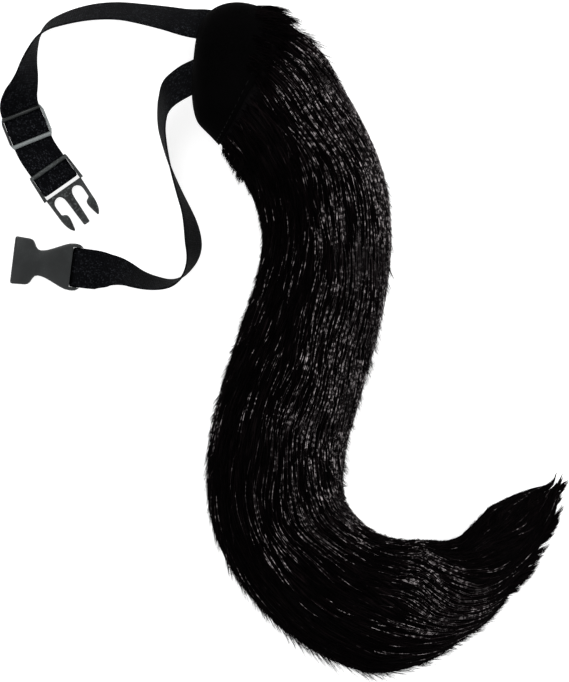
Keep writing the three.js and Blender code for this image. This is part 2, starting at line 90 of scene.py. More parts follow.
# The tail's skin moved outward: a flattened round section that opens from the blunt nose
def skin(along, around, out):
    along, around, out = np.broadcast_arrays(*(np.asarray(v, float) for v in (along, around, out)))
    at = along / tail["length"]
    x, y, heading = tailLine(along)
    side, rise = np.cos(around), np.sin(around)
    depth = np.clip((along + out) / (tail["noseLength"] + out), 0, 1)
    opened = (1 - (1 - depth) ** tail["noseBlunt"]) ** (1 / tail["noseBlunt"])
    high = smoothCurve(tail["girthAt"], tail["high"], at) * tail["height"]
    right = smoothCurve(tail["girthAt"], tail["right"], at)
    left = smoothCurve(tail["girthAt"], tail["left"], at)
    half = np.where(side > 0, right, left) * tail["width"] + out
    reach = np.where(rise > 0, 1 - tail["widestAt"], tail["widestAt"] * tail["sag"]) * high + out
    across = half * opened * np.sign(side) * np.abs(side) ** tail["roundness"]
    z = tail["widestAt"] * high + reach * opened * np.sign(rise) * np.abs(rise) ** tail["roundness"]
    z = np.maximum(z, np.maximum(-out, 0))
    return np.stack([x + np.sin(heading) * across, y - np.cos(heading) * across, z], -1)


# Where the end panel stops and the fur begins: further along the tail on its right, by a cosine
def rimAt(around):
    return tail["rimDepth"] + tail["rimSlant"] * np.cos(around)


# Vectors divided by their lengths
def unit(vectors):
    return vectors / np.maximum(np.linalg.norm(vectors, axis=-1, keepdims=True), 1e-9)


# A mesh from points in millimetres and faces that all have as many corners
def pieceFrom(name, points, faces, uv=None, material=None, smooth=True):
    points = np.asarray(points, float).reshape(-1, 3) * mm
    faces = np.asarray(faces, np.int32)
    mesh = bpy.data.meshes.new(name)
    mesh.vertices.add(len(points))
    mesh.vertices.foreach_set("co", points.astype(np.float32).ravel())
    mesh.loops.add(faces.size)
    mesh.loops.foreach_set("vertex_index", faces.ravel())
    mesh.polygons.add(len(faces))
    mesh.polygons.foreach_set("loop_start", np.arange(0, faces.size, faces.shape[1], dtype=np.int32))
    mesh.polygons.foreach_set("use_smooth", np.full(len(faces), smooth))
    if uv is not None:
        layer = mesh.uv_layers.new(name="cloth")
        layer.data.foreach_set("uv", np.asarray(uv, np.float32).reshape(-1, 2)[faces.ravel()].ravel())
    mesh.update(calc_edges=True)
    mesh.validate()
    piece = bpy.data.objects.new(name, mesh)
    bpy.context.scene.collection.objects.link(piece)
    if material:
        mesh.materials.append(material)
    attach(piece, "root")
    return piece


# Quads between neighbours of a grid of points, whose columns run round and close on themselves
def gridFaces(rows, columns):
    i, j = np.meshgrid(np.arange(rows - 1), np.arange(columns), indexing="ij")
    after = (j + 1) % columns
    here, below = i * columns, (i + 1) * columns
    return np.stack([here + j, here + after, below + after, below + j], -1)


# Slender closed bodies: each runs through its own centres, with points at both ends and a few
# corners round it, spread by its width across and its thickness outward
def threads(centres, outward, wide, thick, sides):
    count, stations = centres.shape[:2]
    tangent = unit(np.gradient(centres, axis=1))
    across = unit(np.cross(tangent, outward))
    up = np.cross(across, tangent)
    turn = np.arange(sides) / sides * 2 * np.pi + np.pi / 2
    rings = centres[:, 1:-1, None, :]
    rings = rings + across[:, 1:-1, None, :] * (np.cos(turn)[:, None] * wide[:, 1:-1, None, None] / 2)
    rings = rings + up[:, 1:-1, None, :] * (np.sin(turn)[:, None] * thick[:, 1:-1, None, None] / 2)
    points = np.concatenate([centres[:, :1], rings.reshape(count, -1, 3), centres[:, -1:]], 1)
    ring = np.arange(sides)
    after = (ring + 1) % sides
    last = 1 + (stations - 3) * sides
    parts = [np.stack([0 * ring, 1 + ring, 1 + after], -1)]
    for k in range(stations - 3):
        a, b = 1 + k * sides + ring, 1 + k * sides + after
        parts += [np.stack([a, a + sides, b + sides], -1), np.stack([a, b + sides, b], -1)]
    parts.append(np.stack([last + ring, 0 * ring + last + sides, last + after], -1))
    template = np.concatenate(parts)
    size = points.shape[1]
    faces = template[None] + np.arange(count)[:, None, None] * size
    share = np.concatenate([[0], np.repeat(np.linspace(0, 1, stations)[1:-1], sides), [1]])
    return points, faces.reshape(-1, 3), share


# Shader node helpers
def newMaterial(name):
    material = bpy.data.materials.new(name)
    material.use_nodes = True
    return material, material.node_tree.nodes, material.node_tree.links


def mathNode(tree, operation, first, second=None, third=None):
    node = tree.nodes.new("ShaderNodeMath")
    node.operation = operation
    for socket, value in zip(node.inputs, (first, second, third)):
        if isinstance(value, bpy.types.NodeSocket):
            tree.links.new(value, socket)
        elif value is not None:
            socket.default_value = value
    return node.outputs[0]


def rangeNode(tree, value, fromLow, fromHigh, low, high):
    node = tree.nodes.new("ShaderNodeMapRange")
    tree.links.new(value, node.inputs["Value"])
    for socket, number in zip(("From Min", "From Max", "To Min", "To Max"), (fromLow, fromHigh, low, high)):
        node.inputs[socket].default_value = number
    return node.outputs["Result"]


def noiseNode(tree, place, scale, detail=3, roughness=0.5):
    node = tree.nodes.new("ShaderNodeTexNoise")
    tree.links.new(place, node.inputs["Vector"])
    node.inputs["Scale"].default_value = scale
    node.inputs["Detail"].default_value = detail
    node.inputs["Roughness"].default_value = roughness
    return node.outputs["Fac"]


def mixColours(tree, share, first, second):
    node = tree.nodes.new("ShaderNodeMix")
    node.data_type = "RGBA"
    for socket, value in ((node.inputs[0], share), (node.inputs[6], first), (node.inputs[7], second)):
        if isinstance(value, bpy.types.NodeSocket):
            tree.links.new(value, socket)
        else:
            socket.default_value = value if not isinstance(value, tuple) else (*value, 1)
    return node.outputs[2]


def newGroup(name, inputs, outputs):
    group = bpy.data.node_groups.new(name, "ShaderNodeTree")
    for label, kind, value in inputs:
        socket = group.interface.new_socket(name=label, in_out="INPUT", socket_type=kind)
        if value is not None:
            socket.default_value = value
    for label, kind in outputs:
        group.interface.new_socket(name=label, in_out="OUTPUT", socket_type=kind)
    return group, group.nodes.new("NodeGroupInput"), group.nodes.new("NodeGroupOutput")


def useGroup(tree, group, **values):
    node = tree.nodes.new("ShaderNodeGroup")
    node.node_tree = group
    for label, value in values.items():
        socket = node.inputs[label]
        if isinstance(value, bpy.types.NodeSocket):
            tree.links.new(value, socket)
        else:
            socket.default_value = value
    return node.outputs


# Soft uneven patches and fine specks, for worn, dusty or unevenly dyed surfaces
def makeMottle():
    group, given, made = newGroup(
        "mottle",
        [
            ("Place", "NodeSocketVector", None),
            ("Patch", "NodeSocketFloat", 40.0),
            ("Speck", "NodeSocketFloat", 900.0),
        ],
        [("Patches", "NodeSocketFloat"), ("Specks", "NodeSocketFloat")],
    )
    for label, size, low, high in (("Patches", "Patch", 0.35, 0.65), ("Specks", "Speck", 0.5, 0.72)):
        noise = group.nodes.new("ShaderNodeTexNoise")
        noise.inputs["Detail"].default_value = 2
        group.links.new(given.outputs["Place"], noise.inputs["Vector"])
        group.links.new(given.outputs[size], noise.inputs["Scale"])
        group.links.new(rangeNode(group, noise.outputs["Fac"], low, high, 0, 1), made.inputs[label])
    return group


# Woven yarns: rounded bumps in rows, each row moved half a yarn, in a cloth's own millimetres
def makeWeave():
    group, given, made = newGroup(
        "weave",
        [
            ("Cloth", "NodeSocketVector", None),
            ("Across", "NodeSocketFloat", 0.8),
            ("Along", "NodeSocketFloat", 1.1),
        ],
        [("Height", "NodeSocketFloat"), ("Yarn", "NodeSocketFloat")],
    )
    parts = group.nodes.new("ShaderNodeSeparateXYZ")
    group.links.new(given.outputs["Cloth"], parts.inputs[0])
    row = mathNode(group, "DIVIDE", parts.outputs[1], given.outputs["Along"])
    shift = mathNode(group, "MULTIPLY", mathNode(group, "FLOOR", row), 0.5)
    column = mathNode(group, "DIVIDE", parts.outputs[0], given.outputs["Across"])
    column = mathNode(group, "ADD", column, shift)
    crown = mathNode(group, "ABSOLUTE", mathNode(group, "SINE", mathNode(group, "MULTIPLY", column, np.pi)))
    bulge = mathNode(group, "ABSOLUTE", mathNode(group, "SINE", mathNode(group, "MULTIPLY", row, np.pi)))
    crown = mathNode(group, "POWER", crown, 0.6)
    bulge = mathNode(group, "POWER", bulge, 0.5)
    height = mathNode(group, "MULTIPLY", crown, bulge)
    group.links.new(height, made.inputs["Height"])
    cell = group.nodes.new("ShaderNodeTexWhiteNoise")
    cell.noise_dimensions = "2D"
    spot = group.nodes.new("ShaderNodeCombineXYZ")
    group.links.new(mathNode(group, "FLOOR", column), spot.inputs[0])
    group.links.new(mathNode(group, "FLOOR", row), spot.inputs[1])
    group.links.new(spot.outputs[0], cell.inputs["Vector"])
    group.links.new(cell.outputs["Value"], made.inputs["Yarn"])
    return group


mottle = makeMottle()
weave = makeWeave()


def bumpInto(tree, shader, height, strength, distance):
    bump = tree.nodes.new("ShaderNodeBump")
    bump.inputs["Strength"].default_value = strength
    bump.inputs["Distance"].default_value = distance
    tree.links.new(height, bump.inputs["Height"])
    tree.links.new(bump.outputs["Normal"], shader.inputs["Normal"])


def objectPlace(tree):
    return tree.nodes.new("ShaderNodeTexCoord").outputs["Object"]


def clothPlace(tree):
    node = tree.nodes.new("ShaderNodeUVMap")
    node.uv_map = "cloth"
    return node.outputs["UV"]


# Fur: a strand's own number makes it dull black, brown black or pale, by straight ranges. The pale is a
# painted glint, in beads and runs where the patches times the specks of the mottle let it, off the roots
furFinish = {
    "black": (0.0009, 0.0007, 0.0008), "brown": (0.005, 0.0032, 0.0036), "pale": (0.13, 0.112, 0.116),
    "brownFrom": 0.55, "paintedGlintFrom": 0.97, "roughness": (0.45, 0.6), "specular": 0.012,
    "patch": 36, "breaks": 260,
}
# The glint coat: every hair may take the pale painted glint colour where the mottle lets it
glintFinish = {
    "black": (0.0012, 0.001, 0.001), "brown": (0.014, 0.0095, 0.0105), "pale": (0.6, 0.545, 0.555),
    "brownFrom": 0, "paintedGlintFrom": -0.1, "roughness": (0.35, 0.5), "specular": 0.1,
    "patch": 30, "breaks": 400,
}


def makeFur(name, finish):
    material, nodes, links = newMaterial(name)
    tree = material.node_tree
    shader = nodes["Principled BSDF"]
    parts = nodes.new("ShaderNodeSeparateXYZ")
    links.new(clothPlace(tree), parts.inputs[0])
    number, share = parts.outputs[0], parts.outputs[1]
    place = objectPlace(tree)
    spots = useGroup(tree, mottle, Place=place, Patch=finish["patch"], Speck=finish["breaks"])
    brown = rangeNode(tree, number, finish["brownFrom"], 1, 0, 1)
    dark = mixColours(tree, brown, finish["black"], finish["brown"])
    # The pale colour is a painted glint, not a colour the hairs have
    pale = rangeNode(tree, number, finish["paintedGlintFrom"], finish["paintedGlintFrom"] + 0.05, 0, 1)
    lit = mathNode(tree, "MULTIPLY", rangeNode(tree, spots["Patches"], 0, 0.6, 0.15, 1), spots["Specks"])
    lit = mathNode(tree, "MULTIPLY", lit, rangeNode(tree, share, 0.1, 0.3, 0, 1))
    pale = mathNode(tree, "MULTIPLY", pale, lit)
    links.new(mixColours(tree, pale, dark, finish["pale"]), shader.inputs["Base Color"])
    low, high = finish["roughness"]
    links.new(rangeNode(tree, spots["Patches"], 0, 1, high, low), shader.inputs["Roughness"])
    shader.inputs["Specular IOR Level"].default_value = finish["specular"]
    return material


# The pile's dark ground under the hairs
def makeGround():
    material, nodes, links = newMaterial("fur_ground")
    tree = material.node_tree
    shader = nodes["Principled BSDF"]
    place = objectPlace(tree)
    spots = useGroup(tree, mottle, Place=place, Patch=60.0, Speck=700.0)
    links.new(mixColours(tree, spots["Patches"], (0.0012, 0.001, 0.0012), (0.003, 0.0025, 0.0028)),
              shader.inputs["Base Color"])
    links.new(rangeNode(tree, spots["Specks"], 0, 1, 0.85, 1), shader.inputs["Roughness"])
    shader.inputs["Specular IOR Level"].default_value = 0.05
    bumpInto(tree, shader, noiseNode(tree, place, 900), 0.6, 0.001)
    return material


# The end panel: smooth tightly woven cloth, its dye faintly uneven in soft patches and some yarns paler
def makePanel():
    material, nodes, links = newMaterial("panel_cloth")
    tree = material.node_tree
    shader = nodes["Principled BSDF"]
    spots = useGroup(tree, mottle, Place=objectPlace(tree), Patch=45.0, Speck=1400.0)
    yarns = useGroup(tree, weave, Cloth=clothPlace(tree), Across=0.55, Along=0.5)
    dyed = mixColours(tree, spots["Patches"], (0.0004, 0.0004, 0.0004), (0.0008, 0.0007, 0.0008))
    paler = mathNode(tree, "MULTIPLY", yarns["Yarn"], 0.4)
    links.new(mixColours(tree, paler, dyed, (0.0018, 0.0017, 0.0018)), shader.inputs["Base Color"])
    links.new(rangeNode(tree, yarns["Height"], 0, 1, 0.95, 0.75), shader.inputs["Roughness"])
    shader.inputs["Specular IOR Level"].default_value = 0.006
    bumpInto(tree, shader, yarns["Height"], 0.35, 0.0002)
    return material


# Webbing: woven yarns with painted shade in the hollows between them, and pale specks on a few yarns'
# crowns
def makeWebbing():
    material, nodes, links = newMaterial("black_webbing")
    tree = material.node_tree
    shader = nodes["Principled BSDF"]
    spots = useGroup(tree, mottle, Place=objectPlace(tree), Patch=55.0, Speck=1100.0)
    yarns = useGroup(tree, weave, Cloth=clothPlace(tree), Across=0.8, Along=1.15)
    # Painted shade: the ground is darker where the weave is low, between the yarns
    groundShadedInHollows = mixColours(tree, yarns["Height"], (0.0006, 0.00065, 0.0009), (0.002, 0.0022, 0.0029))
    flecks = mathNode(tree, "MULTIPLY", mathNode(tree, "POWER", yarns["Yarn"], 5), yarns["Height"])
    flecks = mathNode(tree, "MULTIPLY", flecks, rangeNode(tree, spots["Patches"], 0, 1, 0.35, 1))
    links.new(mixColours(tree, flecks, groundShadedInHollows, (0.027, 0.029, 0.034)), shader.inputs["Base Color"])
    links.new(rangeNode(tree, yarns["Height"], 0, 1, 0.9, 0.62), shader.inputs["Roughness"])
    shader.inputs["Specular IOR Level"].default_value = 0.025
    bumpInto(tree, shader, yarns["Height"], 0.8, 0.0003)
    return material


def makeThread():
    material, nodes, links = newMaterial("sewing_thread")
    tree = material.node_tree
    shader = nodes["Principled BSDF"]
    spots = useGroup(tree, mottle, Place=objectPlace(tree), Patch=300.0, Speck=2500.0)
    links.new(mixColours(tree, spots["Specks"], (0.0012, 0.0012, 0.0012), (0.004, 0.0038, 0.004)),
              shader.inputs["Base Color"])
    links.new(rangeNode(tree, spots["Patches"], 0, 1, 0.5, 0.7), shader.inputs["Roughness"])
    shader.inputs["Specular IOR Level"].default_value = 0.05
    return material


# Moulded plastic: satin grain, paler where handling has rubbed it, and stippled in its texture. Where edges
# are given, parts that lie past a distance along or across the piece's own place get a painted highlight
def makePlastic(name, finish):
    material, nodes, links = newMaterial(name)
    tree = material.node_tree
    shader = nodes["Principled BSDF"]
    place = objectPlace(tree)
    spots = useGroup(tree, mottle, Place=place, Patch=90.0, Speck=finish["speck"])
    worn = mathNode(tree, "MULTIPLY", spots["Patches"], rangeNode(tree, spots["Specks"], 0, 1, 0.35, 1))
    worn = mathNode(tree, "MAXIMUM", worn, mathNode(tree, "MULTIPLY", spots["Specks"], finish["stipple"]))
    colour = mixColours(tree, worn, finish["dark"], finish["rubbed"])
    # Painted highlight on the bars that face the light, past the given edges
    if "edges" in finish:
        own = nodes.new("ShaderNodeMapping")
        own.vector_type = "TEXTURE"
        own.inputs["Location"].default_value = (finish["at"][0] * mm, finish["at"][1] * mm, 0)
        own.inputs["Rotation"].default_value = (0, 0, finish["at"][2])
        links.new(place, own.inputs["Vector"])
        parts = nodes.new("ShaderNodeSeparateXYZ")
        links.new(own.outputs["Vector"], parts.inputs[0])
        along, across = (rangeNode(tree, parts.outputs[k], (highlightEdge - 0.8) * mm, (highlightEdge + 0.5) * mm, 0, 1)
                         for k, highlightEdge in enumerate(finish["edges"]))
        highlightEdge = mathNode(tree, "MAXIMUM", along, across)
        highlightEdge = mathNode(tree, "MULTIPLY", highlightEdge, rangeNode(tree, spots["Specks"], 0, 1, 0.6, 1))
        colour = mixColours(tree, highlightEdge, colour, finish["paintedHighlightColour"])
    links.new(colour, shader.inputs["Base Color"])
    low, high = finish["roughness"]
    links.new(rangeNode(tree, spots["Specks"], 0, 1, low, high), shader.inputs["Roughness"])
    shader.inputs["Specular IOR Level"].default_value = 0.3
    bumpInto(tree, shader, noiseNode(tree, place, finish["grain"], 2), 0.3, 0.00015)
    return material


furHairs = makeFur("fur_hairs", furFinish)
furGlints = makeFur("fur_glints", glintFinish)
furGround = makeGround()
panelCloth = makePanel()
blackWebbing = makeWebbing()
sewingThread = makeThread()
satinPlastic = makePlastic("satin_plastic", {
    "dark": (0.0065, 0.0078, 0.008), "rubbed": (0.017, 0.0195, 0.02), "speck": 1500.0, "stipple": 0.3,
    "roughness": (0.3, 0.44), "grain": 2600,
})
stippledPlastic = makePlastic("stippled_plastic", {
    "dark": (0.003, 0.0036, 0.0036), "rubbed": (0.07, 0.078, 0.078), "speck": 850.0, "stipple": 0.9,
    "roughness": (0.3, 0.5), "grain": 1900,
})
print("materials made")

# The stuffed core that carries the fur
core = {"rows": 150, "around": 72, "below": 1.2, "underRim": 4, "end": 0.985}
sharesDown = np.linspace(0, 1, core["rows"])[:, None]
angles = np.arange(core["around"]) / core["around"] * 2 * np.pi
starts = rimAt(angles)[None] - core["underRim"]
coreAlong = starts + (tail["length"] * core["end"] - starts) * sharesDown
corePoints = skin(coreAlong, angles[None], -core["below"]).reshape(-1, 3)
corePoints[:, 2] = np.maximum(corePoints[:, 2] - core["below"], 0)


# A closed body from a grid of points by adding a middle point at either end, as triangles
def closeGrid(points, rows, columns):
    quads = gridFaces(rows, columns).reshape(-1, 4)
    triangles = [quads[:, [0, 1, 2]], quads[:, [0, 2, 3]]]
    ring = np.arange(columns)
    after = (ring + 1) % columns
    first, last = len(points), len(points) + 1
    triangles.append(np.stack([0 * ring + first, after, ring], -1))
    base = (rows - 1) * columns
    triangles.append(np.stack([base + ring, base + after, 0 * ring + last], -1))
    ends = np.stack([points[:columns].mean(0), points[base:].mean(0)])
    return np.concatenate([points, ends]), np.concatenate(triangles)


# Faces the right way out, found from the sign of the volume they close
def outwardFaces(points, faces):
    a, b, c = (points[faces[:, k]] for k in range(3))
    return faces if np.einsum("ij,ij->i", a, np.cross(b, c)).sum() > 0 else faces[:, ::-1]


corePoints, coreFaces = closeGrid(corePoints, core["rows"], core["around"])
tailCore = pieceFrom("tail_core", corePoints, outwardFaces(corePoints, coreFaces), None, furGround)
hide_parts("tail_body")
print("core made")

# Fur hairs leave the skin, lie along the tail in tufts and end a little off it. How far off they end
# changes along the tail, as the growth rows give for its right and its left
furGrowth = {
    "at": [0, .05, .1, .14, .2, .5, .62, .7, .78, .86, .94, 1],
    "right": [.5, .6, .6, .8, .7, .9, 1.05, 1.2, 1.15, .8, .55, .4],
    "left": [1.2, 1.4, .8, .7, 1, 1.1, .65, .62, .62, .62, .6, .6],
}
# How far the ends of hairs of one length swing over towards the tail's right, in radians round it
furComb = {
    "at": [0, .72, .78, .82, .86, .9, .94, 1], "swing": [0, 0, .16, .5, .62, .5, .26, 0], "hairLength": 25,
}
# Every hair: its points' shares of its length, how thick it is there, how deep it is rooted and how
# short it may be. Hairs stop before the tail's end or pass it a little, and close up to points there.
# "shared" is how much of its lift a hair shares with its tuft, and the pairs are ranges of chance
hair = {
    "points": [0, 0.22, 0.5, 0.78, 1], "taper": [0, 0.9, 1, 0.72, 0], "sides": 3, "root": 1.5,
    "shortest": 7, "beforeEnd": 14, "pastEnd": (-24, 5), "pastOthers": (-2, 3), "longBy": (0.8, 1.1),
    "thickBy": (0.7, 1.2), "shared": 0.6, "underHem": 2, "closing": 0.8, "drift": 0.6, "drifting": 1.5,
    "pointedFrom": 0.84, "pointedOver": 0.12, "pointed": 0.7,
}
# Each coat of hairs: "around" is in degrees round the tail from its right, "behind" and "within" tell
# where its tufts start behind the panel's rim, and "lift" is how far off the skin its hairs end.
# "leave" is how late they rise, and "close" how far apart a tuft's ends stay
furUnder = {
    "count": 7200, "tufts": 1500, "around": (-52, 232), "long": (24, 36), "wide": 2.6, "thick": 0.9,
    "lift": (0.3, 1.2), "spread": 7, "close": 0.55, "stray": 0.02, "seed": 3,
}
furGuard = {
    "count": 25000, "tufts": 2600, "around": (-52, 232), "long": (22, 40), "wide": 0.6, "thick": 0.46,
    "lift": (0.7, 2.6), "spread": 8, "close": 0.5, "stray": 0.03, "seed": 5,
}
furFringe = {
    "count": 6500, "tufts": 1700, "around": (-26, 30), "long": (9, 24), "wide": 0.42, "thick": 0.38,
    "lift": (1, 8), "spread": 3, "close": 0.2, "stray": 0.05, "leave": 2, "grow": 1.9,
    "bothSides": True, "seed": 8,
}
furStray = {
    "count": 1500, "tufts": 1500, "around": (-40, 220), "long": (14, 30), "wide": 0.36, "thick": 0.3,
    "lift": (1.5, 5), "spread": 6, "close": 0.8, "stray": 0.1, "leave": 1.4, "seed": 9,
}
furRim = {
    "count": 620, "tufts": 46, "around": (96, 206), "behind": -13, "within": 15, "long": (11, 18),
    "wide": 0.42, "thick": 0.38, "lift": (2.5, 7), "spread": 3, "close": 0.12, "stray": 0.08,
    "leave": 1, "seed": 17,
}
furRimLow = {
    "count": 800, "tufts": 90, "around": (-30, 36), "within": 34, "long": (9, 16), "wide": 0.4,
    "thick": 0.36, "lift": (2, 9), "spread": 2.4, "close": 0.15, "stray": 0.06, "leave": 1.6,
    "seed": 18,
}
furTip = {
    "count": 1300, "tufts": 80, "around": (-50, 230), "behind": 492, "within": 42, "long": (14, 28),
    "wide": 0.5, "thick": 0.42, "lift": (1, 4), "spread": 3, "close": 0.12, "stray": 0.12, "leave": 1.2,
    "seed": 21,
}
furSpikes = {
    "count": 1300, "tufts": 36, "around": (-18, 44), "behind": 450, "within": 88, "long": (18, 26),
    "wide": 0.5, "thick": 0.42, "lift": (6, 13), "spread": 2.4, "close": 0.05, "stray": 0.02,
    "leave": 1.6, "seed": 35,
}
furGlint = {
    "count": 21000, "tufts": 11000, "around": (-20, 200), "lanes": 60, "long": (6, 30), "wide": 0.38,
    "thick": 0.34, "lift": (2.4, 3.2), "spread": 1, "close": 1, "stray": 0.01, "leave": 0.3, "seed": 12,
}


# Where light catches the coat, as shares of the tail's length. The head is dark except on its left
glintWhere = {
    "headUntil": 0.26, "headOver": 0.14, "headLeft": 0.7, "headDark": 1.4,
    "anywhere": 0.05, "leftPower": 1.4, "shaftFrom": 0.06, "shaftOver": 0.03,
    "shaftUntil": 0.69, "shaftEndsOver": 0.12,
    "brushAt": 0.785, "brushWide": 0.045, "brushShare": 0.48, "brushTurn": 0.3, "least": 0.01,
    "waves": (61, 23), "wavesRound": (3, 2), "bent": 1.4, "gapDepth": 0.4,
}
# Lanes are looser on the tail's right, their tufts narrow, and they wave a little along the tail
lanes = {"loose": 0.12, "looser": 0.5, "looserFrom": 0.6, "narrow": 0.2, "sway": 0.05, "swayLong": (31, 17)}


# The chance that a hair glints: down the shaft, most on its left, plus a rounded bump over the
# brush's near side, times waves along and round the tail that leave dark gaps
def glintShare(along, around):
    at = along / tail["length"]
    leftward = np.clip(0.5 - np.cos(around), 0, 1)
    head = np.clip((glintWhere["headUntil"] - at) / glintWhere["headOver"], 0, 1)
    dark = head * (glintWhere["headLeft"] - leftward) * glintWhere["headDark"]
    shaft = np.clip(glintWhere["anywhere"] + leftward ** glintWhere["leftPower"] - dark, 0, 1)
    shaft = shaft * np.clip((glintWhere["shaftUntil"] - at) / glintWhere["shaftEndsOver"], 0, 1)
    shaft = shaft * np.clip((at - glintWhere["shaftFrom"]) / glintWhere["shaftOver"], 0, 1)
    brush = np.exp(-((at - glintWhere["brushAt"]) / glintWhere["brushWide"]) ** 2)
    upper = np.clip(1.5 * np.sin(around - glintWhere["brushTurn"]) - 0.5, 0, 1)
    brush = glintWhere["brushShare"] * brush * upper
    (first, second), (thrice, twice) = glintWhere["waves"], glintWhere["wavesRound"]
    depth = glintWhere["gapDepth"]
    gaps = depth * np.sin(at * first + glintWhere["bent"] * np.sin(around * thrice))
    gaps = 1 - depth + gaps * np.sin(at * second + around * twice)
    return np.clip((shaft + brush) * gaps, glintWhere["least"], 1)


# Tufts are spread evenly over the skin, or in lanes along it. A hair's root lies within its tuft's
# round, its end nearer the tuft's own end, and it rises from the root by a power of its share
def furHairShapes(fur, chance=None):
    rng = np.random.default_rng(fur["seed"])
    tufts, count = fur["tufts"], fur["count"]
    tuftAround = np.radians(rng.uniform(*fur["around"], tufts))
    if "lanes" in fur:
        low, high = np.radians(fur["around"])
        lane = (high - low) / fur["lanes"]
        rightward = np.clip(lanes["looserFrom"] + np.cos(tuftAround), 0, 1)
        loose = lanes["loose"] + lanes["looser"] * rightward
        middle = np.floor((tuftAround - low) / lane) + 0.5
        tuftAround = low + (middle + rng.normal(0, 1, tufts) * loose) * lane
    if "bothSides" in fur:
        tuftAround = np.where(rng.uniform(0, 1, tufts) < 0.5, np.pi - tuftAround, tuftAround)
    fromRim = rimAt(tuftAround) - hair["underHem"] + fur.get("behind", 0)
    toEnd = fur.get("within", tail["length"] - hair["beforeEnd"] - fromRim)
    tuftAlong = fromRim + toEnd * rng.uniform(0, 1, tufts)
    tuftLong = rng.uniform(*fur["long"], tufts)
    tuftTip = rng.uniform(*hair["pastEnd"], tufts)
    tuftDrift = rng.normal(0, fur["stray"], tufts)
    tuftLift = rng.uniform(0, 1, tufts)
    own = rng.integers(0, tufts, count)
    turn, far = rng.uniform(0, 2 * np.pi, count), np.sqrt(rng.uniform(0, 1, count)) * fur["spread"]
    at = tuftAlong[own] / tail["length"]
    girth = np.maximum(smoothCurve(tail["girthAt"], tail["right"], at), 0.1) * tail["width"]
    rootAlong, rootAround = np.cos(turn) * far, np.sin(turn) * far / girth
    if "lanes" in fur:
        rootAround = rootAround * lanes["narrow"]
    firstAlong = rimAt(tuftAround[own] + rootAround) + 0.5 + min(fur.get("behind", 0), 0)
    start = np.maximum(tuftAlong[own] + rootAlong, firstAlong)
    long = tuftLong[own] * rng.uniform(*hair["longBy"], count)
    pastTuft = rng.uniform(*hair["pastOthers"], count)
    long = np.minimum(long, tail["length"] + tuftTip[own] + pastTuft - start)
    kept = long > hair["shortest"]
    if chance:
        kept &= rng.uniform(0, 1, count) < chance(start, tuftAround[own])
    share = np.array(hair["points"])[None]
    atTip = np.clip((at - hair["pointedFrom"]) / hair["pointedOver"], 0, 1)[:, None]
    close = 1 - (1 - fur["close"] * (1 - hair["pointed"] * atTip)) * share ** hair["closing"]
    along = start[:, None] + long[:, None] * share + rootAlong[:, None] * (close - 1) * 0.5
    drift = tuftDrift[own] + rng.normal(0, fur["stray"] * hair["drift"], count)
    around = tuftAround[own][:, None] + rootAround[:, None] * close
    around = around + drift[:, None] * share ** hair["drifting"]
    if "lanes" in fur:
        longer, shorter = lanes["swayLong"]
        sway = lanes["sway"] * np.sin(along / longer + 2 * np.sin(around * 2))
        around = around + sway * np.sin(along / shorter)
    swing = smoothCurve(furComb["at"], furComb["swing"], along / tail["length"])
    swing = swing * long[:, None] / furComb["hairLength"]
    around = around - swing * share * np.maximum(np.sin(around), 0)
    side = np.cos(tuftAround[own])
    right = smoothCurve(furGrowth["at"], furGrowth["right"], at)
    left = smoothCurve(furGrowth["at"], furGrowth["left"], at)
    growth = np.where(side > 0, right, left)
    growth = 1 + (growth ** fur.get("grow", 1) - 1) * np.abs(side)
    least, most = fur["lift"]
    shared = hair["shared"]
    lift = least + (most - least) * (shared * tuftLift[own] + (1 - shared) * rng.uniform(0, 1, count))
    out = -hair["root"] + ((lift * growth)[:, None] + hair["root"]) * share ** fur.get("leave", 0.9)
    centres = skin(along, around, out)
    outward = unit(skin(along, around, out + 0.6) - centres + np.array([0, 0, 1e-6]))
    centres[..., 2] = np.maximum(centres[..., 2], fur["thick"])
    taper = np.array(hair["taper"])[None] * rng.uniform(*hair["thickBy"], count)[:, None]
    order = np.argsort(start[kept])
    shapes = (centres, outward, taper * fur["wide"], taper * fur["thick"], rng.uniform(0, 1, count))
    return [rows[kept][order] for rows in shapes]


# A coat of hairs, shared between its pieces from the panel towards the tip
def growFur(names, fur, material, chance=None):
    centres, outward, wide, thick, number = furHairShapes(fur, chance)
    for name, rows in zip(names, np.array_split(np.arange(len(centres)), len(names))):
        points, faces, share = threads(centres[rows], outward[rows], wide[rows], thick[rows], hair["sides"])
        numbers = np.repeat(number[rows][:, None], len(share), 1)
        uv = np.stack([numbers, np.broadcast_to(share, numbers.shape)], -1)
        pieceFrom(name, points, faces, uv, material)
        print(name, len(rows), "hairs")


growFur(["fur_undercoat"], furUnder, furHairs)
growFur(["fur_near_panel", "fur_shaft", "fur_bend", "fur_brush"], furGuard, furHairs)
growFur(["fur_fringe"], furFringe, furHairs)
growFur(["fur_strays"], furStray, furHairs)
growFur(["fur_rim_tufts"], furRim, furHairs)
growFur(["fur_rim_low_tufts"], furRimLow, furHairs)
growFur(["fur_tip_tufts"], furTip, furHairs)
growFur(["fur_tip_spikes"], furSpikes, furHairs)
growFur(["fur_glints"], furGlint, furGlints, glintShare)
print("fur grown")

# The end panel: the nose's skin to its slanting rim, closed by an inner wall
panel = {
    "rows": 26, "around": 144, "wall": 2, "hem": 0.5, "hemBack": 1.6, "groove": 0.5, "grooveBack": 0.6,
    "pucker": 0.25, "puckers": 46, "puckerWide": 4, "clothFrom": 30,
    "stitchBack": 4, "stitch": 3.4, "stitches": 45, "seamAround": (-52, 232), "seamRadius": 42,
    "thread": 0.65,
}


# Rows of points close together at the nose, with the rim raised into a rolled hem
def noseGrid(out, rows, columns):
    angles = np.arange(columns) / columns * 2 * np.pi
    share = ((np.arange(rows) + 1) / rows)[:, None] ** 2
    along = -out + (rimAt(angles)[None] + out) * share
    return along, np.broadcast_to(angles[None], along.shape)


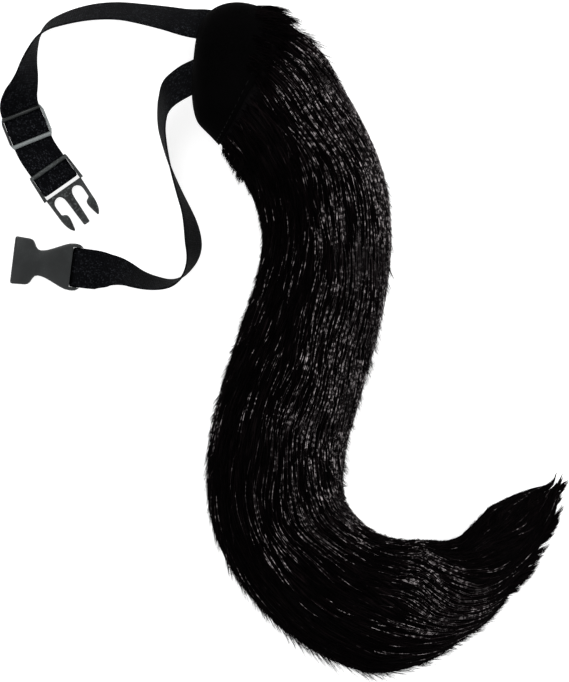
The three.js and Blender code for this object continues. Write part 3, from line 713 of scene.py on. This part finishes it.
outerAlong, outerAngles = noseGrid(0, panel["rows"], panel["around"])
toRim = rimAt(outerAngles) - outerAlong
rolled = panel["hem"] * np.exp(-((toRim - panel["hemBack"]) / panel["hemBack"]) ** 2)
rolled = rolled - panel["groove"] * np.exp(-(toRim - panel["stitchBack"] - panel["grooveBack"]) ** 2)
pucker = np.exp(-((toRim - panel["stitchBack"]) / panel["puckerWide"]) ** 2)
pucker = panel["pucker"] * np.sin(outerAngles * panel["puckers"]) * pucker
flush = skin(outerAlong, outerAngles, 0)
raised = skin(outerAlong, outerAngles, 0.5)
outerPoints = flush + (raised - flush) * 2 * (rolled + pucker)[..., None]
innerAlong, innerAngles = noseGrid(-panel["wall"], panel["rows"], panel["around"])
innerPoints = skin(innerAlong, innerAngles, -panel["wall"])[::-1]
panelPoints = np.concatenate([outerPoints, innerPoints]).reshape(-1, 3)
panelPoints[:, 2] = np.maximum(panelPoints[:, 2], 0)
rows = 2 * panel["rows"]
panelPoints, panelFaces = closeGrid(panelPoints, rows, panel["around"])
panelPoints[-2] = skin(0.0, 0.0, 0.0)
panelPoints[-1] = skin(float(panel["wall"]), 0.0, -float(panel["wall"]))
flatAlong = np.concatenate([outerAlong, innerAlong[::-1]]).ravel()
flatAround = np.concatenate([outerAngles, innerAngles[::-1]]).ravel()
clothOut = flatAlong + panel["clothFrom"]
panelUv = np.stack([np.cos(flatAround) * clothOut, np.sin(flatAround) * clothOut], -1)
panelUv = np.concatenate([panelUv, np.zeros((2, 2))])
panelFaces = outwardFaces(panelPoints, panelFaces)
endPanel = pieceFrom("end_panel", panelPoints, panelFaces, panelUv, panelCloth)
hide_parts("base_cap")


# One stitch: its points' shares of its length, their heights off the cloth and how thick it is there
stitch = {
    "points": [0, 0.12, 0.5, 0.88, 1], "high": [-0.25, 0.15, 0.3, 0.15, -0.25], "thick": [0, 1, 1.1, 1, 0],
    "sides": 6,
}


# Stitches: short rounded threads end to end, sunk at both ends, along a line of places on a surface
def stitches(name, ends, outward, width):
    share = np.array(stitch["points"])
    start, stop = ends[:, :1], ends[:, 1:]
    centres = start + (stop - start) * share[None, :, None]
    height = np.array(stitch["high"])[None, :, None]
    centres = centres + outward[:, None] * height
    size = np.broadcast_to(np.array(stitch["thick"])[None] * width, centres.shape[:2])
    outward = np.broadcast_to(outward[:, None], centres.shape)
    points, faces, _ = threads(centres, outward, size, size, stitch["sides"])
    return pieceFrom(name, points, faces, None, sewingThread)


middles = np.radians(np.linspace(*panel["seamAround"], panel["stitches"]))
half = panel["stitch"] / 2 / panel["seamRadius"]
sewn = np.stack([middles - half, middles + half], 1)
seamEnds = skin(rimAt(sewn) - panel["stitchBack"], sewn, -0.3)
seamLine = rimAt(middles) - panel["stitchBack"]
seamOut = unit(skin(seamLine, middles, 1) - skin(seamLine, middles, 0))
stitches("panel_seam", seamEnds, seamOut, panel["thread"])
print("end panel made")

# Straps: free stretches follow tables, hardware stretches go over and under round bars
webbing = {
    "width": 25.4, "selvedge": 0.45, "thick": 1.4, "gap": 0.3, "step": 1.7, "bar": 1.5,
    "slitHeight": 33, "lead": 8, "foldBack": 13, "acrossPoints": 15, "squareness": 14, "off": 0.02,
    "arcStep": 0.22,
}
slide = {"length": 22.3, "heading": 292, "toBuckle": 29.5}
prongedHalf = {"turn": 13, "barAt": 13.3}
socketHalf = {"barAt": 3.2, "barHigh": 4, "looser": 0.45}
upper = {
    "across": -26.96, "length": 179.06,
    "at": [0, .11, .28, .42, .56, .67, .78, .86, .9, .935],
    "heading": [174, 167, 172, 188, 202, 246, 261, 247, 263, 292],
    "tilt": [38, 48, 60, 65, 74, 96, 119, 140, 158, 180],
    "lift": [.7, .46, .12, 0, 0, 0, 0, 0, 0, 0],
}
lower = {
    "across": 9.02, "length": 216,
    "at": [0, .06, .14, .22, .32, .44, .56, .66, .74, .84, .92, .97, 1],
    "heading": [205, 217, 261, 280, 288, 292, 276, 236, 178, 156, 177, 173, 173],
    "tilt": [35, 42, 73, 82, 90, 101, 114, 94, 74, 57, 30, 4, 0],
    "lift": [.74, .64, .36, .12, 0, 0, 0, 0, 0, 0, 0, 0, 0],
}
wrap = webbing["bar"] + webbing["gap"] + webbing["thick"] / 2
layer = webbing["thick"] + webbing["gap"]
lowBar = wrap + webbing["thick"] / 2
highBar = lowBar + layer
slideBarAt = slide["length"] / 2 - webbing["bar"]
buckleAt = upper["length"] + slide["toBuckle"]
pastSlide = upper["length"] + slide["length"] / 2
beforeBuckle = buckleAt - webbing["lead"]
upper["at"] += [pastSlide / upper["length"], beforeBuckle / upper["length"]]
upper["heading"] += [slide["heading"], slide["heading"] + prongedHalf["turn"]]
upper["tilt"] += [180, 180]
upper["lift"] += [0, 0]


# A strap's line in plan starts where its slit is on the nose
def strapLine(strap):
    share = abs(strap["across"]) / (tail["right"][0] * tail["width"])
    depth = tail["noseLength"] * (1 - (1 - share ** tail["noseBlunt"]) ** (1 / tail["noseBlunt"]))
    x, y, heading = tailLine(depth)
    x, y = x + np.sin(heading) * strap["across"], y - np.cos(heading) * strap["across"]
    return planLine(x, y, strap["length"], strap["at"], strap["heading"])


# A belt seen from the side: straight legs that touch the bars' rounds, and arcs round them, as
# distances along and heights. A bar is its place, height, radius and turn, 1 for over and -1 for under
def beltRoute(bars, lastTurn=0):
    legs = []
    for before, bar in zip(bars, bars[1:]):
        run, rise = bar[0] - before[0], bar[1] - before[1]
        lean = (bar[3] * bar[2] - before[3] * before[2]) / np.hypot(run, rise)
        legs.append(np.arctan2(rise, run) + np.arcsin(lean))
    route = []
    for i, (at, high, radius, turn) in enumerate(bars):
        entering = legs[max(i - 1, 0)]
        leaving = legs[i] if i < len(legs) else entering - np.radians(lastTurn)
        if turn > 0 and leaving > entering + 0.01:
            leaving -= 2 * np.pi
        count = max(1, int(np.ceil(abs(leaving - entering) / webbing["arcStep"]))) if radius else 0
        angle = np.linspace(entering, leaving, count + 1)
        reach = turn * radius
        route.append(np.stack([at - reach * np.sin(angle), high + reach * np.cos(angle)], -1))
    route = np.concatenate(route)
    pieces = []
    for start, stop in zip(route, route[1:]):
        count = max(1, int(np.ceil(abs(stop[0] - start[0]) / webbing["step"])))
        pieces.append(start + (stop - start) * (np.arange(count) / count)[:, None])
    return np.concatenate(pieces + [route[-1:]])


# A strap's places, headings and tilts. Its free stretch begins inside the panel and rests on its lower
# edge, raised by its lift as a share of the slit's height. The belt round the bars follows
def strapSpots(strap, line, belt):
    start = -tail["noseLength"] / 2
    count = int(round((belt[0, 0] - start) / webbing["step"]))
    free = start + (belt[0, 0] - start) * np.arange(count) / count
    flat = np.abs(np.cos(np.radians(smoothCurve(strap["at"], strap["tilt"], free / strap["length"]))))
    lift = smoothCurve(strap["at"], strap["lift"], free / strap["length"]) * webbing["slitHeight"]
    distance = np.concatenate([free, belt[:, 0]])
    base = np.concatenate([lift + flat * webbing["thick"] / 2, belt[:, 1]])
    x, y, heading = line(distance)
    tilt = np.radians(smoothCurve(strap["at"], strap["tilt"], distance / strap["length"]))
    z = base + np.abs(np.sin(tilt)) * webbing["width"] / 2
    return np.stack([x, y, z], -1), heading, tilt


# Frames along a strap: forward by its neighbours, across turned by the tilt, outward square to both
def strapFrames(points, heading, tilt):
    steps = [points[1:2] - points[:1], points[2:] - points[:-2], points[-1:] - points[-2:-1]]
    forward = unit(np.concatenate(steps))
    level = np.stack([-np.sin(heading), np.cos(heading), 0 * heading], -1)
    across = unit(level * np.cos(tilt)[:, None] + np.cross(forward, level) * np.sin(tilt)[:, None])
    return across, unit(np.cross(forward, across))


# A flat ribbon with rounded edges, its points set close at the edges by a sine and its thickness by a
# high power of the share across. Its UV is in its own millimetres
def ribbon(name, spots, width, thick, material):
    points, heading, tilt = spots
    across, outward = strapFrames(points, heading, tilt)
    turn = np.linspace(0, 1, webbing["acrossPoints"])
    side = np.sin((turn - 0.5) * np.pi)
    swell = np.minimum(1, (1 - np.abs(side) ** webbing["squareness"] + 1e-9) ** 0.5)
    profile = np.concatenate([np.stack([-side, swell], -1), np.stack([side[1:-1], -swell[1:-1]], -1)])
    grid = points[:, None] + across[:, None] * (profile[:, 0] * width / 2)[None, :, None]
    grid = grid + outward[:, None] * (profile[:, 1] * thick / 2)[None, :, None]
    columns = len(profile)
    flat, faces = closeGrid(grid.reshape(-1, 3), len(points), columns)
    run = np.concatenate([[0], np.cumsum(np.linalg.norm(np.diff(points, axis=0), axis=1))])
    uv = np.stack(np.broadcast_arrays(profile[None, :, 0] * width / 2, run[:, None]), -1).reshape(-1, 2)
    uv = np.concatenate([uv, uv[:1], uv[-1:]])
    flat[:, 2] = np.maximum(flat[:, 2], webbing["off"])
    return pieceFrom(name, flat, outwardFaces(flat, faces), uv, material)


upperLine, lowerLine = strapLine(upper), strapLine(lower)
upperBelt = beltRoute([
    (upper["length"] - slide["length"] / 2 - webbing["lead"], webbing["thick"] / 2, 0, 1),
    (upper["length"] - slideBarAt, highBar, wrap, -1),
    (upper["length"], lowBar, wrap + layer, 1),
    (upper["length"] + slideBarAt, highBar, wrap, -1),
    (buckleAt + webbing["bar"], highBar, wrap, -1),
    (buckleAt + prongedHalf["barAt"], lowBar, wrap, 1),
    (upper["length"], lowBar, wrap, 1),
], 190)
lowerEnd = lower["length"] + socketHalf["barAt"]
lowerBelt = beltRoute([
    (lower["length"] - webbing["foldBack"] - webbing["lead"], webbing["thick"] / 2, 0, 1),
    (lower["length"] - webbing["foldBack"], webbing["thick"] / 2 + layer, 0, 1),
    (lowerEnd, socketHalf["barHigh"], wrap + socketHalf["looser"], 1),
    (lowerEnd - webbing["foldBack"], webbing["thick"] / 2, 0, 1),
])
upperSpots = strapSpots(upper, upperLine, upperBelt)
lowerSpots = strapSpots(lower, lowerLine, lowerBelt)
edgeToEdge = webbing["width"] + 2 * webbing["selvedge"]
upperWebbing = ribbon("upper_webbing", upperSpots, edgeToEdge, webbing["thick"], blackWebbing)
lowerWebbing = ribbon("lower_webbing", lowerSpots, edgeToEdge, webbing["thick"], blackWebbing)
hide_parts("upper_strap")
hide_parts("lower_strap")


# Slits: the panel is cut by short stretches of ribbon a little larger than the webbing
slit = {"stations": 18, "room": 0.8}


def cutSlit(spots, name):
    short = tuple(part[:slit["stations"]] for part in spots)
    cutter = ribbon(name, short, edgeToEdge + slit["room"], webbing["thick"] + slit["room"], None)
    cut = endPanel.modifiers.new(name, "BOOLEAN")
    cut.operation, cut.object, cut.solver = "DIFFERENCE", cutter, "EXACT"
    bpy.context.view_layer.objects.active = endPanel
    with bpy.context.temp_override(object=endPanel, active_object=endPanel):
        bpy.ops.object.modifier_apply(modifier=name)
    bpy.data.objects.remove(cutter)


cutSlit(upperSpots, "upper_slit")
cutSlit(lowerSpots, "lower_slit")
print("straps made")


# Plastic hardware: a merged copy of the CAD node with its edges eased
easing = {"merge": 2e-6, "flat": 0.02, "sharp": 0.6, "segments": 2}


def easedCopy(name, node, width, material):
    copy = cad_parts[node].copy()
    copy.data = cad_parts[node].data.copy()
    copy.name = copy.data.name = name
    for key in list(copy.keys()):
        del copy[key]
    bpy.context.scene.collection.objects.link(copy)
    work = bmesh.new()
    work.from_mesh(copy.data)
    bmesh.ops.remove_doubles(work, verts=work.verts, dist=easing["merge"])
    bmesh.ops.dissolve_limit(work, angle_limit=easing["flat"], verts=work.verts, edges=work.edges)
    work.to_mesh(copy.data)
    work.free()
    copy.data.materials.clear()
    copy.data.materials.append(material)
    copy.data.polygons.foreach_set("use_smooth", np.full(len(copy.data.polygons), True))
    ease = copy.modifiers.new("eased edges", "BEVEL")
    ease.width, ease.segments = width * mm, easing["segments"]
    ease.limit_method, ease.angle_limit = "ANGLE", easing["sharp"]
    ease.harden_normals = True
    copy.hide_render = copy.hide_viewport = False
    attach(copy, "root")
    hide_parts(node)
    return copy


# The slide's bottom bar and right rail are given a painted highlight where the light falls on them
slidePlasticPaintedHighlight = makePlastic("slide_plastic_painted_highlight", {
    "dark": (0.004, 0.0048, 0.0048), "rubbed": (0.016, 0.018, 0.018), "speck": 1500.0, "stipple": 0.3,
    "roughness": (0.26, 0.4), "grain": 2600,
    "at": upperLine(upper["length"]), "edges": (8.2, 13.4), "paintedHighlightColour": (0.22, 0.24, 0.24),
})
easedCopy("slide_frame", "slide_adjuster", 0.35, slidePlasticPaintedHighlight)
easedCopy("pronged_half", "buckle_male", 0.3, stippledPlastic)
easedCopy("socket_half", "buckle_female", 0.4, satinPlastic)
print("hardware made")

# A pale floor, a camera straight above through a long lens, and soft light mostly from the right
stage = {"floor": 3.0, "floorDown": 0.0002, "floorColour": (0.6, 0.6, 0.6), "floorGlow": 0.76, "sky": 0.85}
view = {"away": 6.0, "pixel": mm / 1.5, "tall": 682, "sensor": 36, "middle": (0.0013, -0.0003)}
lights = {
    "right": {"place": (1.5, 0.55, 1.1), "size": 0.7, "power": 20},
    "behind": {"place": (-0.5, 1.3, 1.5), "size": 1.0, "power": 10},
    "left": {"place": (-1.4, -0.8, 1.6), "size": 1.4, "power": 8},
}


# A wide white square that glows a little, so that it stays near white where the tail shades it
def makeFloor():
    half = stage["floor"]
    mesh = bpy.data.meshes.new("floor")
    corners = [(-half, -half, 0), (half, -half, 0), (half, half, 0), (-half, half, 0)]
    mesh.from_pydata(corners, [], [(0, 1, 2, 3)])
    floor = bpy.data.objects.new("floor", mesh)
    bpy.context.scene.collection.objects.link(floor)
    material, nodes, links = newMaterial("pale_floor")
    tree = material.node_tree
    shader = nodes["Principled BSDF"]
    spots = useGroup(tree, mottle, Place=objectPlace(tree), Patch=6.0, Speck=300.0)
    pale = stage["floorColour"]
    paler = tuple(part * 1.02 for part in pale)
    links.new(mixColours(tree, spots["Patches"], pale, paler), shader.inputs["Base Color"])
    shader.inputs["Roughness"].default_value = 0.9
    shader.inputs["Specular IOR Level"].default_value = 0.1
    shader.inputs["Emission Color"].default_value = (1, 1, 1, 1)
    shader.inputs["Emission Strength"].default_value = stage["floorGlow"]
    mesh.materials.append(material)
    floor.location.z = -stage["floorDown"]


makeFloor()
world = bpy.data.worlds.new("soft studio")
world.use_nodes = True
world.node_tree.nodes["Background"].inputs["Color"].default_value = (1, 1, 1, 1)
world.node_tree.nodes["Background"].inputs["Strength"].default_value = stage["sky"]
bpy.context.scene.world = world
for name, light in lights.items():
    lamp = bpy.data.lights.new(name, "AREA")
    lamp.energy, lamp.size = light["power"], light["size"]
    holder = bpy.data.objects.new(name, lamp)
    bpy.context.scene.collection.objects.link(holder)
    spot = np.array(light["place"])
    holder.location = spot
    toward = -unit(spot)
    lean = np.arctan2(np.hypot(toward[0], toward[1]), -toward[2])
    holder.rotation_euler = (lean, 0, np.arctan2(-toward[0], toward[1]))
lens = bpy.data.cameras.new("camera")
lens.sensor_width = view["sensor"]
lens.lens = view["sensor"] * view["away"] / (view["tall"] * view["pixel"])
lens.clip_start, lens.clip_end = 0.1, 30
camera = bpy.data.objects.new("camera", lens)
bpy.context.scene.collection.objects.link(camera)
camera.location = (*view["middle"], view["away"])
bpy.context.scene.camera = camera
bpy.context.scene.view_settings.view_transform = "Standard"
bpy.context.view_layer.update()
